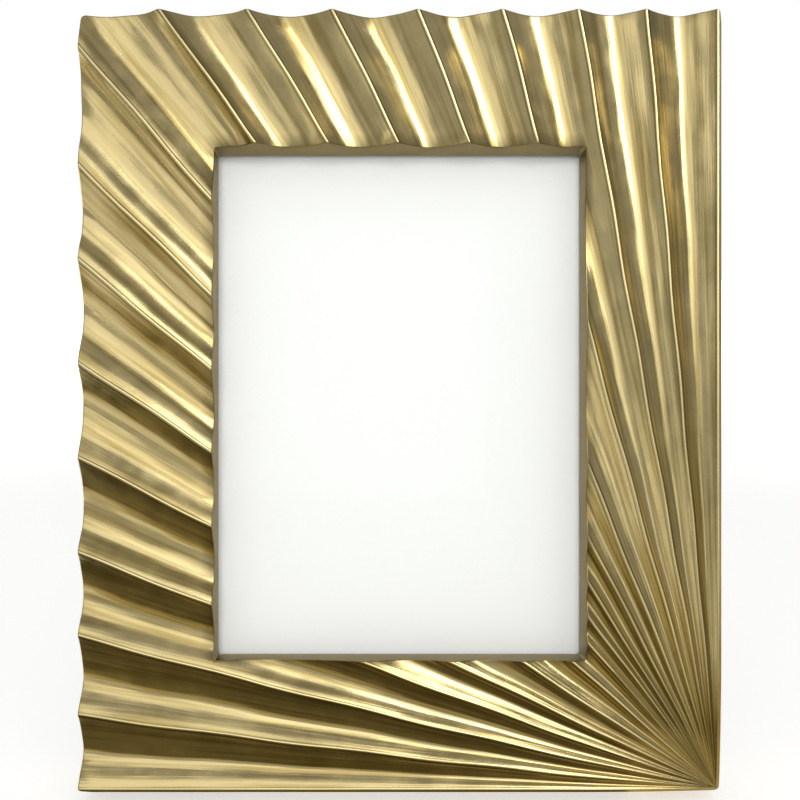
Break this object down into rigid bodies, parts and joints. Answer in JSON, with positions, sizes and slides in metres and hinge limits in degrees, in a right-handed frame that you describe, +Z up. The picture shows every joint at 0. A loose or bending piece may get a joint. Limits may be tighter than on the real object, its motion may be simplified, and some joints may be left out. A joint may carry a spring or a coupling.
{
  "type": "photo frame",
  "caption": "Cast metal photo frame with a fluted sunburst relief fanning from one lower corner, glazed window and folding easel back.",
  "frame": {"origin": "on the floor, below the centre of the standing frame's bounding box", "axes": "+Z up, +X to the right seen from the front, +Y towards the easel leg at the back; the face looks towards -Y and leans back by 14 degrees"},
  "size_m": [0.208, 0.0986, 0.25],
  "materials": {
    "cast_brass": "cast, satin polished on the relief",
    "glass": "clear float glass",
    "white_card": "smooth matt",
    "greyboard": "uncoated",
    "velvet_board": "fibreboard covered in black velvet",
    "plated_steel": "brass plated",
    "ribbon": "black satin ribbon"
  },
  "bodies": {
    "frame": {"frame_casting": "cast_brass", "glass_pane": "glass", "photo_card": "white_card", "spacer_card": "greyboard", "easel_back_board": "velvet_board", "backing_ring": "velvet_board", "ring_screw_1": "plated_steel", "ring_screw_2": "plated_steel", "ring_screw_3": "plated_steel", "ring_screw_4": "plated_steel", "ring_screw_5": "plated_steel", "ring_screw_6": "plated_steel", "turn_button_screw_1": "plated_steel", "turn_button_screw_2": "plated_steel", "turn_button_screw_3": "plated_steel", "turn_button_screw_4": "plated_steel", "turn_button_screw_5": "plated_steel", "turn_button_screw_6": "plated_steel", "hinge_leaf_board": "plated_steel", "hinge_pin": "plated_steel", "board_rivet_1": "plated_steel", "board_rivet_2": "plated_steel", "stay_ribbon": "ribbon"},
    "leg": {"easel_leg": "velvet_board", "hinge_leaf_leg": "plated_steel", "leg_rivet_1": "plated_steel", "leg_rivet_2": "plated_steel"},
    "button_1": {"turn_button_1": "plated_steel"},
    "button_2": {"turn_button_2": "plated_steel"},
    "button_3": {"turn_button_3": "plated_steel"},
    "button_4": {"turn_button_4": "plated_steel"},
    "button_5": {"turn_button_5": "plated_steel"},
    "button_6": {"turn_button_6": "plated_steel"}
  },
  "joints": [
    {"name": "leg_fold", "type": "hinge", "parent": "frame", "child": "leg", "pos_m": [0, 0.00974, 0.14433], "axis": [1, 0, 0], "range_deg": [-29, 0], "deforming": ["stay_ribbon"]},
    {"name": "button_1_turn", "type": "hinge", "parent": "frame", "child": "button_1", "pos_m": [-0.0721, -0.0124, 0.0638], "axis": [0, 0.9703, -0.2419], "continuous": true},
    {"name": "button_2_turn", "type": "hinge", "parent": "frame", "child": "button_2", "pos_m": [-0.0721, 0.00212, 0.12202], "axis": [0, 0.9703, -0.2419], "continuous": true},
    {"name": "button_3_turn", "type": "hinge", "parent": "frame", "child": "button_3", "pos_m": [-0.0721, 0.01663, 0.18023], "axis": [0, 0.9703, -0.2419], "continuous": true},
    {"name": "button_4_turn", "type": "hinge", "parent": "frame", "child": "button_4", "pos_m": [0.0721, -0.0124, 0.0638], "axis": [0, 0.9703, -0.2419], "continuous": true},
    {"name": "button_5_turn", "type": "hinge", "parent": "frame", "child": "button_5", "pos_m": [0.0721, 0.00212, 0.12202], "axis": [0, 0.9703, -0.2419], "continuous": true},
    {"name": "button_6_turn", "type": "hinge", "parent": "frame", "child": "button_6", "pos_m": [0.0721, 0.01663, 0.18023], "axis": [0, 0.9703, -0.2419], "continuous": true}
  ]
}
